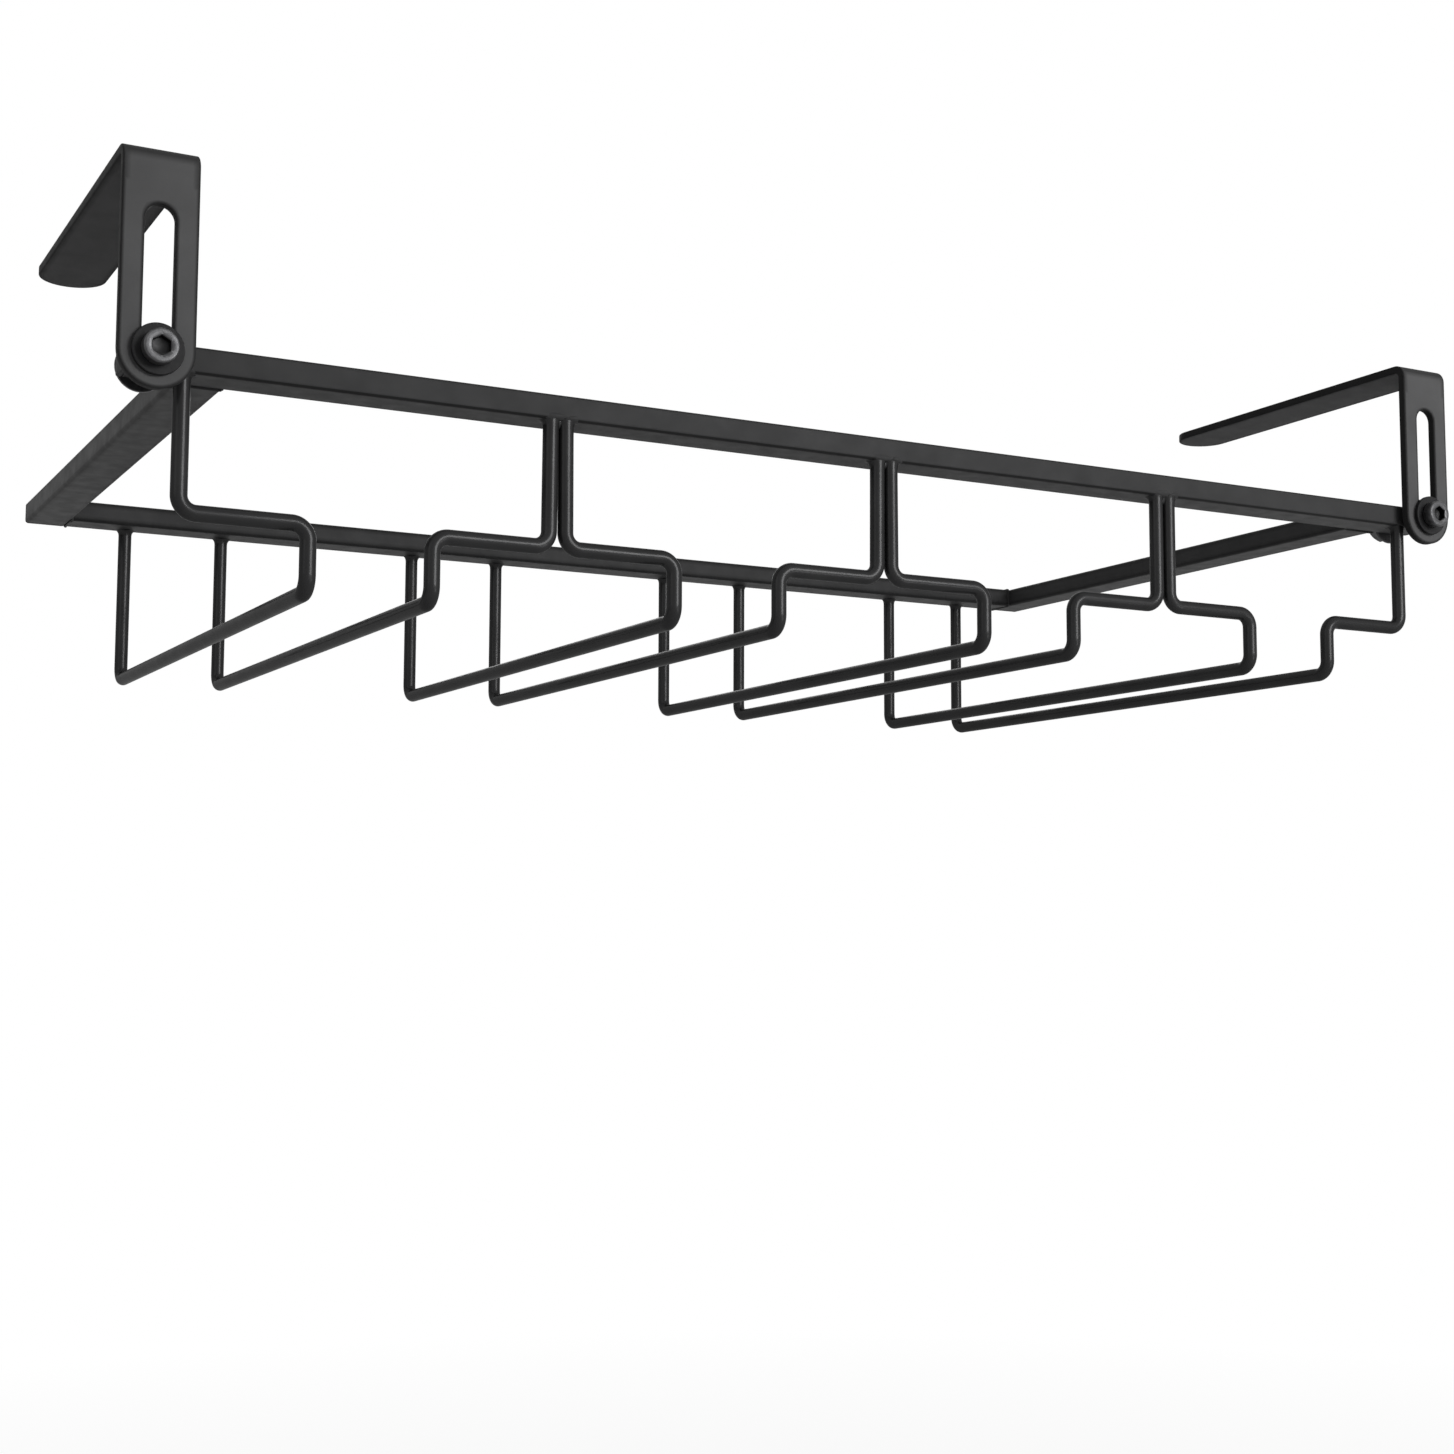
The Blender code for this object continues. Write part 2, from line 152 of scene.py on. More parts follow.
@dataclass
class Surface:
    """Points and four-sided faces, gathered from one or more grids."""

    points: np.ndarray = field(default_factory=lambda: np.zeros((0, 3)))
    quads: np.ndarray = field(default_factory=lambda: np.zeros((0, 4), int))
    # How much painted edge shade each point gets.
    edges: np.ndarray = field(default_factory=lambda: np.zeros(0))

    def add_grid(self, grid: np.ndarray, wrap_rows: bool = False, wrap_columns: bool = False,
                 edge: np.ndarray | float = 0.0) -> "Surface":
        """Add a grid of points, whose face (i, j) joins points i, i + 1 and j, j + 1.

        Args:
            grid: Points as rows, columns, 3.
            wrap_rows: Join the last row to the first.
            wrap_columns: Join the last column to the first.
            edge: How much of an edge each point is, from 0 to 1. Shade is painted into the coat's colour
                there.

        Returns:
            This surface, so that calls can follow each other.
        """
        shape = grid.shape[:2]
        index = np.arange(shape[0] * shape[1]).reshape(shape) + len(self.points)
        if wrap_rows:
            index = np.vstack([index, index[:1]])
        if wrap_columns:
            index = np.hstack([index, index[:, :1]])
        quads = np.stack([index[:-1, :-1], index[:-1, 1:], index[1:, 1:], index[1:, :-1]], -1)
        self.quads = np.vstack([self.quads, quads.reshape(-1, 4)])
        self.points = np.vstack([self.points, grid.reshape(-1, 3)])
        self.edges = np.concatenate([self.edges, np.broadcast_to(edge, shape).ravel()])
        return self

    def mesh(self, name: str) -> bpy.types.Mesh:
        """Make the mesh: doubles merged, normals outwards, smooth but for real corners.

        Args:
            name: The mesh's name.

        Returns:
            The new mesh.
        """
        mesh = bpy.data.meshes.new(name)
        mesh.from_pydata(self.points.tolist(), [], self.quads.tolist())
        # The painted edge shade is stored as a point attribute for the finishes to read.
        layer = mesh.attributes.new(SHADE_LAYER, "FLOAT", "POINT")
        layer.data.foreach_set("value", self.edges.astype(np.float32))
        build = bmesh.new()
        build.from_mesh(mesh)
        bmesh.ops.remove_doubles(build, verts=build.verts, dist=MERGE_DISTANCE)
        bmesh.ops.recalc_face_normals(build, faces=build.faces)
        build.to_mesh(mesh)
        build.free()
        smooth(mesh)
        return mesh


def unit(vector: np.ndarray) -> np.ndarray:
    """The vector, or each of an array of them, divided by its length."""
    return vector / np.linalg.norm(vector, axis=-1, keepdims=True)


def full_turn(count: int) -> np.ndarray:
    """That many even angles of a full turn, from zero on."""
    return np.arange(count) / count * math.tau


def circle(angle: np.ndarray) -> np.ndarray:
    """The unit vector (cos a, sin a) of each angle."""
    return np.column_stack([np.cos(angle), np.sin(angle)])


def ripple(angle: np.ndarray | float, waves: Rows, seed: float) -> np.ndarray | float:
    """The unevenness of a weld: one and, for each wave (h, n, k), h sin(n a + k seed) more."""
    return 1 + sum(height * np.sin(count * angle + shift * seed) for height, count, shift in waves)


def soft_corners(corners: np.ndarray, radius: float, steps: int, guards: tuple[float, ...],
                 closed: bool = False) -> np.ndarray:
    """Round the corners of a polyline.

    Each corner becomes the arc centre + start * cos(a) - back * radius * sin(a), with a from 0 to half
    a turn less the corner's angle. Guard points stand before and after it, so that the smooth
    shading of the bend stays out of the straight parts.

    Args:
        corners: The polyline's points, in two or three dimensions.
        radius: The arcs' radius in metres.
        steps: How many parts each arc has.
        guards: How far the guard points stand from the arcs in metres, the nearest first.
        closed: Whether the last point joins the first.

    Returns:
        The points of the rounded line.
    """
    count, away = len(corners), np.array(guards)[:, None]
    parts = [] if closed else [corners[:1]]
    for index in (range(count) if closed else range(1, count - 1)):
        corner = corners[index]
        back = unit(corners[index - 1] - corner)
        ahead = unit(corners[(index + 1) % count] - corner)
        half = math.acos(float(np.clip(back @ ahead, -1, 1))) / 2
        centre = corner + unit(back + ahead) * radius / math.sin(half)
        start = corner + back * radius / math.tan(half) - centre
        angle = np.linspace(0, math.pi - 2 * half, steps + 1)[:, None]
        arc = centre + start * np.cos(angle) - back * radius * np.sin(angle)
        parts += [arc[:1] + back * away[::-1], arc, arc[-1:] + ahead * away]
    return np.vstack(parts if closed else [*parts, corners[-1:]])


def rectangle(width: float, height: float, radius: float) -> np.ndarray:
    """The section of a flat tube: a rectangle of that width and height with round corners."""
    corners = np.array([(1, -1), (1, 1), (-1, 1), (-1, -1)]) * (width / 2, height / 2)
    return soft_corners(corners, radius, CORNER_STEPS, CORNER_GUARDS, closed=True)


def rectangle_shade() -> np.ndarray:
    """How much painted edge shade each point of a rectangle gets: all of it on the arcs, none at the far
    guards.
    """
    return np.tile([0.0, GUARD_SHADE, *np.ones(CORNER_STEPS + 1), GUARD_SHADE, 0.0], 4)


def lump(centre: np.ndarray, axes: np.ndarray, seed: float) -> np.ndarray:
    """A cooled drop of weld with an uneven skin.

    With a round the drop and b from pole to pole, a point is centre + k (axis 1 cos b cos a + axis 2
    cos b sin a + axis 3 sin b), where k = 1 + 0.07 sin(3 a + s) cos b + 0.05 sin(4 b + 2 s) cos b.

    Args:
        centre: The drop's middle.
        axes: Its three half axes, one in each row.
        seed: What makes this drop's skin its own.

    Returns:
        The drop as a grid whose first and last rows are its poles.
    """
    rows, columns = DROP_GRID
    tilt, way = np.meshgrid(np.linspace(-QUARTER, QUARTER, rows), full_turn(columns), indexing="ij")
    skin = 1 + (0.07 * np.sin(3 * way + seed) + 0.05 * np.sin(4 * tilt + 2 * seed)) * np.cos(tilt)
    spread = np.stack([np.cos(tilt) * np.cos(way), np.cos(tilt) * np.sin(way), np.sin(tilt)], -1)
    return centre + skin[..., None] * (spread @ axes)


def loft(sections: list[tuple[np.ndarray, float]]) -> np.ndarray:
    """Stand sections on each other: row i is outline i, in x and y, at its own height."""
    return np.stack([np.insert(outline, 2, height, axis=1) for outline, height in sections])


def hexagon(across_flats: float, columns: int) -> np.ndarray:
    """A hexagon's radius at each angle: half its flats over the cosine from the nearest flat's middle."""
    from_flat = (full_turn(columns) + math.pi / 6) % (math.pi / 3) - math.pi / 6
    return across_flats / 2 / np.cos(from_flat)


def turned(profile: np.ndarray | list, columns: int) -> np.ndarray:
    """Turn a profile of radius and height about z: (r cos a, r sin a, h), where r may vary with a."""
    ring = circle(full_turn(columns))
    return loft([(ring * np.reshape(radius, (-1, 1)), height) for radius, height in profile])


def swept(path: np.ndarray, radius: np.ndarray | float, columns: int, closed: bool = False) -> np.ndarray:
    """Carry a circle along a path: p + r (side cos a + up sin a), side and up square to the path.

    Args:
        path: The centre line.
        radius: The circle's radius, or one for each point of the path.
        columns: How many points the circle has.
        closed: Whether the path joins up.

    Returns:
        The grid, with one row for each point of the path.
    """
    along = unit(np.roll(path, -1, 0) - np.roll(path, 1, 0) if closed else np.gradient(path, axis=0))
    reference = unit(np.ones(3))
    side = unit(reference - along * (along @ reference)[:, None])
    up = np.cross(along, side)
    angle = full_turn(columns)[None, :, None]
    size = np.broadcast_to(radius, (len(path),))[:, None, None]
    return path[:, None] + size * (side[:, None] * np.cos(angle) + up[:, None] * np.sin(angle))


# ---------------------------------------------------------------- finishes


class Graph:
    """A node tree, with short calls for its nodes."""

    def __init__(self, tree: bpy.types.NodeTree) -> None:
        """Work on that tree."""
        self.tree = tree

    def feed(self, node: bpy.types.Node, sockets: dict) -> None:
        """Link or set some of a node's sockets.

        Args:
            node: The node.
            sockets: For each socket the output that is linked to it, or the constant that it holds.
        """
        for name, value in sockets.items():
            if isinstance(value, Socket):
                self.tree.links.new(value, node.inputs[name])
            else:
                node.inputs[name].default_value = value

    def add(self, kind: str, sockets: dict, output: str, **settings: str) -> Socket:
        """Add a node.

        Args:
            kind: Its type, without the word ShaderNode.
            sockets: What goes into its sockets, as feed takes it.
            output: The name of the output that is wanted.
            **settings: Its other settings.

        Returns:
            That output.
        """
        node = self.tree.nodes.new(f"ShaderNode{kind}")
        for name, value in settings.items():
            setattr(node, name, value)
        self.feed(node, sockets)
        return node.outputs[output]


class NodeKit(Graph):
    """A new node material, with short calls for what a finish is made of."""

    def __init__(self, name: str) -> None:
        """Start a material that has one Principled shader."""
        self.material = bpy.data.materials.new(name)
        self.material.use_nodes = True
        super().__init__(self.material.node_tree)
        self.place = self.add("TexCoord", {}, "Object")

    def dress(self, **values: float | tuple | Socket) -> None:
        """Set or link the shader's own sockets; an underscore in a name stands for a space."""
        sockets = {name.replace("_", " "): value for name, value in values.items()}
        self.feed(self.tree.nodes["Principled BSDF"], sockets)

    def noise(self, size: float, detail: float = 2.0, roughness: float = 0.5) -> Socket:
        """A noise from 0 to 1 on the piece's own coordinates, with blots that many metres wide."""
        return self.add("TexNoise", {"Vector": self.place, "Scale": 1 / size, "Detail": detail,
                                     "Roughness": roughness}, "Fac")

    def rings(self, centre: Point, size: float) -> Socket:
        """The fine rings, from 0 to 1, that a lathe leaves that far apart round an axis along y.

        Args:
            centre: A point on the axis.
            size: The distance from ring to ring, in metres.

        Returns:
            The rings.
        """
        away = tuple(-value for value in centre)
        moved = self.add("Mapping", {"Vector": self.place, "Location": away}, "Vector")
        sockets = {"Vector": moved, "Scale": WAVES_PER_RING / size, "Distortion": RING_WANDER}
        return self.add("TexWave", sockets, "Fac", wave_type="RINGS", rings_direction="Y")

    def span(self, value: Socket, low: float, high: float) -> Socket:
        """Spread the middle of a noise over low to high."""
        sockets = dict(zip(("From Min", "From Max", "To Min", "To Max"), (*NOISE_MIDDLE, low, high)))
        return self.add("MapRange", {"Value": value, **sockets}, "Result")

    def colours(self, value: Socket, dark: Point, light: Point) -> Socket:
        """Run from one colour to another over the middle of a noise.

        Args:
            value: The noise.
            dark: The colour below its middle.
            light: The colour above it.

        Returns:
            The colour.
        """
        output = self.add("ValToRGB", {"Fac": value}, "Color")
        stops = output.node.color_ramp.elements
        for index, colour in enumerate((dark, light)):
            stops[index].position, stops[index].color = NOISE_MIDDLE[index], (*colour, 1)
        return output

    def paint_edge_shade(self, colour: Socket, share: float) -> Socket:
        """Paint shade along the mesh's edges, by darkening the colour where the edge attribute is high.

        Args:
            colour: The colour on the flats.
            share: How much of the colour is left on an edge, under the painted shade.

        Returns:
            The colour with shade painted along its edges.
        """
        edge = self.add("Attribute", {}, "Fac", attribute_name=SHADE_LAYER)
        left = self.add("MapRange", {"Value": edge, "To Min": 1.0, "To Max": share}, "Result")
        return self.add("VectorMath", {"Vector": colour, "Scale": left}, "Vector", operation="SCALE")

    def bump(self, *layers: tuple[Socket, float]) -> None:
        """Give the shader relief.

        Args:
            *layers: Each layer's height, from 0 to 1, and its depth in metres.
        """
        below = {}
        for height, depth in layers:
            sockets = {"Height": height, "Strength": 1.0, "Distance": depth, **below}
            below = {"Normal": self.add("Bump", sockets, "Normal")}
        self.dress(**below)


@dataclass(frozen=True)
class Finish:
    """What each finish has: blots between two colours, painted shade along the edges and a gloss that
    wanders.
    """

    name: str
    dark: Point
    light: Point
    roughness: float
    blot_width: float = 0.018
    blot_detail: float = 3.0
    blot_strength: float = 0.5
    gloss_width: float = 0.006
    gloss_detail: float = 3.0
    gloss_range: tuple[float, float] = (-0.04, 0.05)
    # How much of the colour is left where shade is painted along the edges.
    edge_shade_factor: float = 0.30

    def kit(self) -> NodeKit:
        """Start the material with its colour and its roughness.

        Returns:
            The material's node kit.
        """
        kit = NodeKit(self.name)
        blots = kit.noise(self.blot_width, self.blot_detail, self.blot_strength)
        colour = kit.colours(blots, self.dark, self.light)
        # Shade is painted along the edges: the colour is darkened there.
        if self.edge_shade_factor < 1:
            colour = kit.paint_edge_shade(colour, self.edge_shade_factor)
        low, high = self.gloss_range
        wander = kit.noise(self.gloss_width, self.gloss_detail)
        kit.dress(Base_Color=colour,
                  Roughness=kit.span(wander, self.roughness + low, self.roughness + high))
        return kit


@dataclass(frozen=True)
class PowderCoat(Finish):
    """Baked powder on steel: a satin skin with a fine orange peel and slightly uneven colour.

    A thin coat lets the steel's own gloss through: that share is metallic, and its rim is how much of
    a metal's full mirror is left at a grazing angle, where the peel shades itself. The glaze is the
    share of the skin that has flowed out smooth, which gives a thin bright line on a round wire.
    """

    gloss: float = 0.10
    metallic: float = 0.0
    rim: float = 1.0
    glaze: float = 0.0
    glaze_roughness: float = 0.10
    peel_width: float = 0.0014
    peel_depth: float = 0.000008
    grain_width: float = 0.00025
    grain_depth: float = 0.000002

    def material(self) -> bpy.types.Material:
        """Build the coat.

        Returns:
            Its material.
        """
        kit = self.kit()
        kit.dress(Specular_IOR_Level=self.gloss, Metallic=self.metallic,
                  Specular_Tint=(self.rim, self.rim, self.rim, 1.0),
                  Coat_Weight=self.glaze, Coat_Roughness=self.glaze_roughness)
        kit.bump((kit.noise(self.peel_width, 1.0), self.peel_depth),
                 (kit.noise(self.grain_width), self.grain_depth))
        return kit.material


@dataclass(frozen=True)
class BlackOxide(Finish):
    """Blackened steel: a dark metal with the fine rings of the lathe and a mottled oxide.

    Shade is painted into the inside of the socket, where little light gets.
    """

    blot_width: float = 0.0016
    blot_strength: float = 0.6
    gloss_width: float = 0.0008
    gloss_detail: float = 2.0
    gloss_range: tuple[float, float] = (-0.05, 0.08)
    # How much of the colour is left under the painted shade in the socket.
    edge_shade_factor: float = 0.12
    gloss: float = 0.4
    metallic: float = 0.75
    centre: Point = (0.0, 0.0, 0.0)
    ring_width: float = 0.00022
    grit_width: float = 0.0005
    relief: float = 0.000003

    def material(self) -> bpy.types.Material:
        """Build the metal.

        Returns:
            Its material.
        """
        kit = self.kit()
        kit.dress(Metallic=self.metallic, Specular_IOR_Level=self.gloss)
        kit.bump((kit.rings(self.centre, self.ring_width), self.relief),
                 (kit.noise(self.grit_width), self.relief))
        return kit.material


@dataclass(frozen=True)
class Moulding(Finish):
    """Moulded black plastic with the fine spark texture of its mould."""

    blot_width: float = 0.003
    blot_detail: float = 2.0
    gloss_width: float = 0.001
    gloss_detail: float = 2.0
    gloss_range: tuple[float, float] = (-0.05, 0.05)
    edge_shade_factor: float = 1.0
    gloss: float = 0.12
    spark_width: float = 0.0003
    spark_depth: float = 0.000006

    def material(self) -> bpy.types.Material:
        """Build the plastic.

        Returns:
            Its material.
        """
        kit = self.kit()
        kit.dress(Specular_IOR_Level=self.gloss, Metallic=0.0)
        kit.bump((kit.noise(self.spark_width), self.spark_depth))
        return kit.material


def add_object(name: str, data: bpy.types.ID) -> bpy.types.Object:
    """Put a new object into the scene.

    Args:
        name: Its name.
        data: Its mesh, lamp or camera.

    Returns:
        The object, at the origin.
    """
    new = bpy.data.objects.new(name, data)
    bpy.context.scene.collection.objects.link(new)
    return new


@dataclass(frozen=True)
class Dressing:
    """What pieces of one kind share: their finish, the body they ride on and the record's slot."""

    material: bpy.types.Material
    body: str
    slot: Slot

    def show(self, name: str, surface: Surface | np.ndarray | bpy.types.Mesh, *nodes: str) -> None:
        """Put a finished piece into the scene and tie it to the solids.

        Args:
            name: The piece's name.
            surface: Its surface in the rack's frame, its mesh, or one grid whose columns close.
            *nodes: The solids that it stands for.
        """
        if isinstance(surface, np.ndarray):
            surface = Surface().add_grid(surface, wrap_columns=True)
        mesh = surface.mesh(name) if isinstance(surface, Surface) else surface
        mesh.materials.clear()
        mesh.materials.append(self.material)
        piece = add_object(name, mesh)
        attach(piece, self.body)
        if nodes:
            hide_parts(*nodes)
        LOG.info("%s: %d faces, on %s", name, len(mesh.polygons), self.body)


# ---------------------------------------------------------------- the frame


@dataclass
class TubeFrame:
    """Four rails of flat tube, the welds where they meet, and the plugs in their open ends."""

    wall: float = 0.001
    corner: float = 0.0012
    inner_corner: float = 0.0005
    end_bevel: float = 0.00015
    hole: float = 0.0066
    hole_columns: int = 48
    drill_margin: float = 0.002
    seam_radius: float = 0.00055
    seam_columns: int = 12
    seam_waves: Rows = ((0.08, 23, 1), (0.05, 41, 2))
    seam_seeds: tuple[int, int] = (3, 7)
    plug_cap: float = 0.0015
    plug_dome: float = 0.00012
    plug_edge: float = 0.0004
    plug_edge_steps: int = 6
    plug_dome_shares: tuple[float, ...] = (0.75, 0.5, 0.25, POLE_SHARE)
    spigot_play: float = 0.0026
    spigot_corner: float = 0.0005
    spigot_taper: float = 0.0006
    tip_play: float = 0.0036
    tip_corner: float = 0.0004
    lap_length: float = 0.0040
    lap_waves: Rows = ((0.3, 0, 2.1),)
    lap_shift: float = 0.0010
    lap_height: float = 0.0013
    lap_bulge: float = 0.0010
    lap_depth: float = 0.00125
    coat: PowderCoat = PowderCoat("frame_powder_coat", (0.0225, 0.0225, 0.023),
                                  (0.0295, 0.0295, 0.03), 0.58)
    plastic: Moulding = Moulding("plug_plastic", (0.015, 0.015, 0.0155), (0.020, 0.020, 0.0205), 0.6,
                                 gloss=0.06)

    def tube(self, node: str, facing: Facing) -> Surface:
        """A tube on the box of its solid.

        Its rows run down the outside, round the cut end, up the inside and back, so the grid closes
        on itself both ways.

        Args:
            node: The solid that it stands for.
            facing: The way that the tube runs, RIGHT or BACK.

        Returns:
            The tube's surface.
        """
        box = Box.of(node)
        axis = 0 if facing is Facing.RIGHT else 1
        length, width, height = box.size[axis], box.size[1 - axis], box.size[2]
        origin = box.middle
        origin[axis] -= length / 2
        bevel, wall = self.end_bevel, self.wall
        outer = rectangle(width, height, self.corner)
        cut = rectangle(width - 2 * bevel, height - 2 * bevel, self.corner - bevel)
        inner = rectangle(width - 2 * wall, height - 2 * wall, self.inner_corner)
        grid = loft([(cut, 0), (outer, bevel), (outer, length - bevel), (cut, length), (inner, length),
                     (inner, 0)])
        # Shade is painted on the tube's rounded corners, fading out onto the flats.
        return Surface().add_grid(facing.place(grid, origin), wrap_rows=True, wrap_columns=True,
                                  edge=rectangle_shade())

    def drilled(self, rail: Surface) -> bpy.types.Mesh:
        """Drill the front rail where the clamp screws pass.

        Args:
            rail: The rail's surface.

        Returns:
            The drilled rail's mesh.
        """
        box = Box.of("front_rail")
        radius, reach = self.hole / 2, box.size[1] + 2 * self.drill_margin
        bar = turned([(0, 0), (radius, 0), (radius, reach), (0, reach)], self.hole_columns)
        piece = add_object("front_rail_blank", rail.mesh("front_rail_blank"))
        drills = []
        for side in Side:
            start = Box.of(f"{side.word}_clamp_screw").middle
            start[1] = box.low[1] - self.drill_margin
            drill = Surface().add_grid(Facing.BACK.place(bar, start), wrap_columns=True)
            drills.append(add_object(f"{side.word}_drill", drill.mesh("drill")))
            cut = piece.modifiers.new("Drill", "BOOLEAN")
            cut.operation, cut.solver, cut.object = "DIFFERENCE", "EXACT", drills[-1]
        evaluated = piece.evaluated_get(bpy.context.evaluated_depsgraph_get())
        mesh = bpy.data.meshes.new_from_object(evaluated)
        for spare in (piece, *drills):
            bpy.data.objects.remove(spare, do_unlink=True)
        smooth(mesh)
        return mesh

    def seam(self, facing: Facing, centre: np.ndarray, width: float, height: float, seed: int) -> Surface:
        """A thin weld round the end of a tube, in the gap to the rail that it meets.

        A circle runs round the tube's section. Its radius ripples along the way, as the weld does.

        Args:
            facing: The way that the tube runs.
            centre: The middle of the joint.
            width: The tube's width.
            height: The tube's height.
            seed: What makes this weld's ripple its own.

        Returns:
            The weld's surface.
        """
        path = facing.place(loft([(rectangle(width, height, self.corner), 0)])[0], centre)
        radius = self.seam_radius * ripple(full_turn(len(path)), self.seam_waves, seed)
        grid = swept(path, radius, self.seam_columns, closed=True)
        return Surface().add_grid(grid, wrap_rows=True, wrap_columns=True)

    def plug(self, node: str, facing: Facing) -> np.ndarray:
        """A moulded plug: a domed cap with round edges, and a spigot that narrows into the tube.

        Each row is a rectangle that is so much smaller than the cap, scaled by its share. The round
        edge runs e (1 - cos t) in and e sin t up, and the dome falls by its height * share squared.

        Args:
            node: The solid that it stands for.
            facing: The way that its cap looks.

        Returns:
            The plug as a grid.
        """
        box = Box.of(node)
        axis = 1 if facing is Facing.BACK else 0
        width, height, length = box.size[1 - axis], box.size[2], box.size[axis]
        cap, edge, dome, corner = self.plug_cap, self.plug_edge, self.plug_dome, self.corner
        origin = box.middle
        origin[axis] += (-1 if facing is Facing.LEFT else 1) * (length / 2 - cap)
        tip, play, soft = cap - length, self.spigot_play, self.spigot_corner
        rows = [(0, corner, POLE_SHARE, tip), (self.tip_play, self.tip_corner, 1, tip),
                (play, soft, 1, tip + self.spigot_taper), (play, soft, 1, 0), (0, corner, 1, 0)]
        for turn in np.linspace(0, QUARTER, self.plug_edge_steps):
            inset = edge * (1 - math.cos(turn))
            rows.append((2 * inset, corner - inset, 1, cap - dome - edge + edge * math.sin(turn)))
        rows += [(2 * edge, corner - edge, share, cap - dome * share ** 2)
                 for share in self.plug_dome_shares]
        return facing.place(loft([(rectangle(width - less, height - less, radius) * share, level)
                                  for less, radius, share, level in rows]), origin)

    def lay_laps(self, steel: Dressing) -> None:
        """Let the coat run over each front post's weld and round the rail's lower front edge.

        Each lap is a drop laid along that edge, sunk so far that little of it stands proud.

        Args:
            steel: The rails' dressing.
        """
        _, front, under = Box.of("front_rail").low
        inwards, upwards = unit(np.array([[0.0, 1.0, 1.0], [0.0, -1.0, 1.0]]))
        for channel in range(1, WireChannels.channels + 1):
            for side in Side:
                post = Box.of(f"channel_{channel}_{side.word}_wire").inside(side, WireChannels.radius)
                seed = 3 * channel + side.value
                centre = np.array([post + self.lap_shift, front, under]) + inwards * self.lap_depth
                length = self.lap_length * ripple(0.0, self.lap_waves, seed)
                axes = np.array([[length, 0, 0], upwards * self.lap_height, -inwards * self.lap_bulge])
                steel.show(f"channel_{channel}_{side.word}_lap", lump(centre, axes, seed))

    def build(self) -> None:
        """Make the rails, their welds and their plugs."""
        steel = Dressing(self.coat.material(), "frame", Slot.FRAME)
        plastic = Dressing(self.plastic.material(), "frame", Slot.PLUG)
        self.lay_laps(steel)
        steel.show("front_rail_coated", self.drilled(self.tube("front_rail", Facing.RIGHT)), "front_rail")
        steel.show("rear_rail_coated", self.tube("rear_rail", Facing.RIGHT), "rear_rail")
        front_rail, rear_rail = Box.of("front_rail"), Box.of("rear_rail")
        front_seed, rear_seed = self.seam_seeds
        for side in Side:
            node = f"{side.word}_rail"
            steel.show(f"{node}_coated", self.tube(node, Facing.BACK), node)
            rail = Box.of(node)
            x, _, z = rail.middle
            front = np.array([x, (front_rail.high[1] + rail.low[1]) / 2, z])
            steel.show(f"{side.word}_front_seam", self.seam(Facing.BACK, front, rail.size[0], rail.size[2],
                                                            side.value + front_seed))
            inner = (rear_rail.inside(side) + rail.inside(side.other)) / 2
            rear = np.array([inner, rear_rail.middle[1], z])
            steel.show(f"{side.word}_rear_seam", self.seam(Facing.RIGHT, rear, rear_rail.size[1],
                                                           rear_rail.size[2], side.value + rear_seed))
            for end, way in (("front", Facing[side.name]), ("rear", Facing.BACK)):
                node = f"{end}_{side.word}_end_plug"
                plastic.show(f"{node}_moulded", self.plug(node, way), node)


# ---------------------------------------------------------------- the wires


